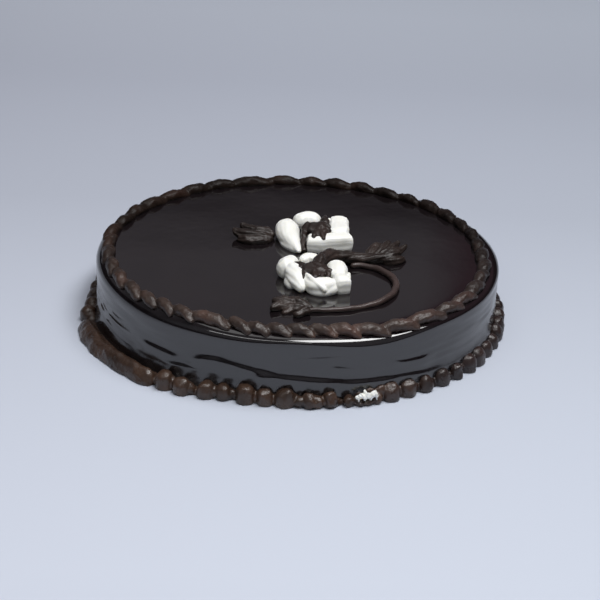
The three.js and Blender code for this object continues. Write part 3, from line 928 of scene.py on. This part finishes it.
# Looks of the fudge: its dark, middle and light tints, its gloss and roughness, the depth of its fine bumps,
# the share of its colour and gloss left under the painted shade at the back of the cake, and its painted
# bluish shade at the right.
FUDGE = {
    "top": {
        "tints": ((0.033, 0.022, 0.018), (0.051, 0.033, 0.026), (0.083, 0.045, 0.034)),
        "gloss": 0.38, "rough": 0.36, "depth": 0.26, "back": 0.30, "right": (0.80, 0.82, 0.90),
    },
    "foot": {
        "tints": ((0.031, 0.018, 0.012), (0.052, 0.029, 0.019), (0.074, 0.042, 0.027)),
        "gloss": 0.55, "rough": 0.27, "depth": 0.30, "back": 0.7, "right": (0.62, 0.68, 0.95),
    },
    "spray": {
        "tints": ((0.018, 0.012, 0.010), (0.028, 0.019, 0.016), (0.044, 0.029, 0.024)),
        "gloss": 0.36, "rough": 0.38, "depth": 0.22, "back": 0.8, "right": (1, 1, 1),
    },
    "stem": {
        "tints": ((0.034, 0.023, 0.021), (0.048, 0.032, 0.029), (0.064, 0.044, 0.040)),
        "gloss": 0.45, "rough": 0.34, "depth": 0.18, "back": 0.9, "right": (1, 1, 1),
    },
}


def fudge_material(name):
    look = FUDGE[name]
    material, tree, shader = new_material("fudge_" + name)
    dark, middle, light = look["tints"]
    tint = ramp(tree, noise_node(tree, scale=55, detail=5), ((0.38, dark), (0.68, light), (0.53, middle)))
    way = own_place(tree)
    # painted shade: the fudge is darker and less glossy towards the back of the cake
    front = between(tree, way["Y"], metres(FUDGE_SHADE_BACK), (grey(1), grey(look["back"])))
    # painted bluish shade towards the right of the cake
    side = between(tree, way["X"], metres(FUDGE_SHADE_RIGHT), (grey(1), look["right"]))
    tree.links.new(combined(tree, combined(tree, tint, front), side), shader.inputs["Base Color"])
    tree.links.new(spread(tree, front, 0.0, look["gloss"]), shader.inputs["Specular IOR Level"])
    low, high = (look["rough"] + more for more in FUDGE_ROUGH)
    rough = spread(tree, noise_node(tree, scale=300, detail=3), low, high)
    tree.links.new(rough, shader.inputs["Roughness"])
    grain = noise_node(tree, scale=700, detail=4, roughness=0.65)
    tree.links.new(bump(tree, grain, look["depth"]), shader.inputs["Normal"])
    shader.inputs["IOR"].default_value = 1.5
    return material


CREAM_TINT = ((0.3, (0.80, 0.80, 0.75)), (0.7, (0.88, 0.88, 0.84)))


def cream_material():
    material, tree, shader = new_material("cream")
    colour = ramp(tree, noise_node(tree, scale=150, detail=3), CREAM_TINT)
    tree.links.new(colour, shader.inputs["Base Color"])
    rough = spread(tree, noise_node(tree, scale=400, detail=3), low=0.38, high=0.55)
    tree.links.new(rough, shader.inputs["Roughness"])
    grain = noise_node(tree, scale=1500, detail=3, roughness=0.6)
    tree.links.new(bump(tree, grain, depth=0.05), shader.inputs["Normal"])
    shader.inputs["Subsurface Weight"].default_value = 0.25
    shader.inputs["Subsurface Radius"].default_value = (1.0, 0.95, 0.8)
    shader.inputs["Subsurface Scale"].default_value = 2.0 * MM
    return material


# The floor's painted light over a range from front to back, and its painted shade over one from left to
# right.
FLOOR_DEPTH = (-250, 550)
FLOOR_DEPTH_PAINTED_LIGHT = (
    (0, (0.575, 0.615, 0.705)),
    (1, (0.500, 0.535, 0.615)),
    (0.5, (0.440, 0.470, 0.545)),
    (0.8, (0.450, 0.480, 0.560)),
)
FLOOR_SIDE = (-200, 200)
FLOOR_SIDE_PAINTED_SHADE = ((1.0, 1.0, 1.0), (0.90, 0.91, 0.91))
# Far from the cake, where the lamps don't reach, the floor glows with painted light to keep its tone.
FLOOR_FAR = (780, 2200)
FLOOR_FAR_PAINTED_GLOW = (0.36, 0.39, 0.45)


def floor_material():
    material, tree, shader = new_material("floor")
    way = own_place(tree)
    # painted light: the floor is brighter in front of the cake and darker behind it
    depth = ramp(tree, within(tree, way["Y"], *metres(FLOOR_DEPTH)), FLOOR_DEPTH_PAINTED_LIGHT)
    # painted shade: the floor darkens towards the right
    side = between(tree, way["X"], metres(FLOOR_SIDE), FLOOR_SIDE_PAINTED_SHADE)
    tree.links.new(combined(tree, depth, side), shader.inputs["Base Color"])
    place = tree.nodes.new("ShaderNodeTexCoord")
    away = tree.nodes.new("ShaderNodeVectorMath")
    away.operation = "LENGTH"
    tree.links.new(place.outputs["Object"], away.inputs[0])
    # painted light: the floor glows more the farther it lies from the cake
    painted_glow = within(tree, away.outputs["Value"], *metres(FLOOR_FAR))
    tree.links.new(painted_glow, shader.inputs["Emission Strength"])
    shader.inputs["Emission Color"].default_value = (*FLOOR_FAR_PAINTED_GLOW, 1)
    shader.inputs["Roughness"].default_value = 0.85
    shader.inputs["Specular IOR Level"].default_value = 0.2
    return material


# ---- stage, light and camera --------------------------------------------------------------------------

FLOOR_HALF_WIDTH = 9000
FLOOR_FRONT = -9000
SWEEP = {"start": 420, "radius": 900, "rise": 34}  # the floor curves up behind the cake

# The lamps, which all point at the middle of the foot: place, size and watts.
LIGHT_AIM = (0, 0, 0)
LIGHTS = {
    "key": ((290, -180, 1040), (900, 360), 12),
    "strip": ((-250, -700, 850), (1000, 90), 1.2),
    "top": ((0, 250, 1500), (1400, 900), 4),
}
# The room's tones by direction: an axis, the ends of a range on it, and the tones at these ends.
ROOM = {
    "depth": ("Y", (-0.4, 0.7), ((0.05, 0.05, 0.055), (0.16, 0.15, 0.165))),
    "rise": ("Z", (0.355, 0.400), ((0.08, 0.08, 0.09), (1, 1, 1))),
    "side": ("X", (0.070, 0.098), ((1, 1, 1), (0.5, 0.30, 0.35))),
    "ahead": ("Y", (-0.3, 0.0), ((0.15, 0.155, 0.17), (0, 0, 0))),
    "above": ("Z", (0.16, 0.34), ((0, 0, 0), (1, 1, 1))),
}


def make_floor():
    angle = np.radians(np.linspace(0, SWEEP["rise"], 24))
    y = [FLOOR_FRONT, *(SWEEP["start"] + SWEEP["radius"] * np.sin(angle))]
    z = [0.0, *(SWEEP["radius"] * (1 - np.cos(angle)))]
    points = [(x, a, b) for a, b in zip(y, z) for x in (-FLOOR_HALF_WIDTH, FLOOR_HALF_WIDTH)]
    triangles = []
    for n in range(len(y) - 1):
        a = 2 * n
        triangles += [(a, a + 1, a + 3), (a, a + 3, a + 2)]
    floor = show("floor", mesh_of("floor", np.array(points), np.array(triangles)))
    floor.data.materials.append(floor_material())


def make_lights():
    for name, (place, size, watts) in LIGHTS.items():
        light = bpy.data.lights.new(name, "AREA")
        light.shape = "RECTANGLE"
        light.size, light.size_y = metres(size)
        light.energy = watts
        obj = bpy.data.objects.new(name, light)
        bpy.context.scene.collection.objects.link(obj)
        obj.location = Vector(place) * MM
        obj.rotation_euler = (Vector(LIGHT_AIM) - Vector(place)).to_track_quat("-Z", "Y").to_euler()


def make_room():
    """A dim room: bright above the horizon behind the cake, less so towards the right, and with a weak light
    from high in front of it."""
    world = bpy.data.worlds.new("room")
    bpy.context.scene.world = world
    world.use_nodes = True
    tree = world.node_tree
    place = tree.nodes.new("ShaderNodeTexCoord")
    way = tree.nodes.new("ShaderNodeSeparateXYZ")
    tree.links.new(place.outputs["Generated"], way.inputs["Vector"])
    tones = {name: between(tree, way.outputs[axis], ends, pair) for name, (axis, ends, pair) in ROOM.items()}
    behind = combined(tree, combined(tree, tones["depth"], tones["rise"]), tones["side"])
    ahead = combined(tree, tones["ahead"], tones["above"])
    back = tree.nodes["Background"]
    tree.links.new(combined(tree, behind, ahead, "MAXIMUM"), back.inputs["Color"])
    back.inputs["Strength"].default_value = 1.0


def make_camera():
    camera = bpy.data.cameras.new("camera")
    camera.lens = CAMERA["lens"]
    camera.sensor_width = CAMERA["sensor"]
    camera.clip_start = 0.01
    obj = bpy.data.objects.new("camera", camera)
    bpy.context.scene.collection.objects.link(obj)
    down, roll = math.radians(CAMERA["down"]), math.radians(CAMERA["roll"])
    forward = Vector((0, math.cos(down), -math.sin(down)))
    level = Vector((1, 0, 0))
    above = level.cross(forward)
    right = math.cos(roll) * level + math.sin(roll) * above
    up = -math.sin(roll) * level + math.cos(roll) * above
    turned = Matrix((right, up, -forward)).transposed().to_4x4()
    obj.matrix_world = Matrix.Translation(Vector(CAMERA["place"]) * MM) @ turned
    bpy.context.scene.camera = obj


def main():
    cream, spray = cream_material(), fudge_material("spray")
    make_camera()
    make_cake(glaze_material())
    make_top_border(fudge_material("top"))
    make_foot_border(fudge_material("foot"))
    make_cream_spot(cream)
    make_flower("flower_back_strokes", "flower_back", FLOWER_BACK, cream, seed=61)
    make_flower("flower_front_strokes", "flower_front", FLOWER_FRONT, cream, seed=81)
    make_centre("centre_back_lump", "centre_back", CENTRE_BACK, spray, seed=101)
    make_centre("centre_front_lump", "centre_front", CENTRE_FRONT, spray, seed=121)
    make_spray("spray_right_ridges", "spray_right", SPRAY_RIGHT + SPRAY_LEAF, spray, seed=21, rough=0.24)
    make_stem(fudge_material("stem"))
    make_spray("leaf_front_ridges", "leaf_front", LEAF_FRONT, spray, seed=41, rough=0.45)
    make_spray("leaf_left_ridges", "leaf_left", LEAF_LEFT, spray, seed=51, rough=0.45)
    make_floor()
    make_lights()
    make_room()
    bpy.context.scene.view_settings.view_transform = "Standard"


main()
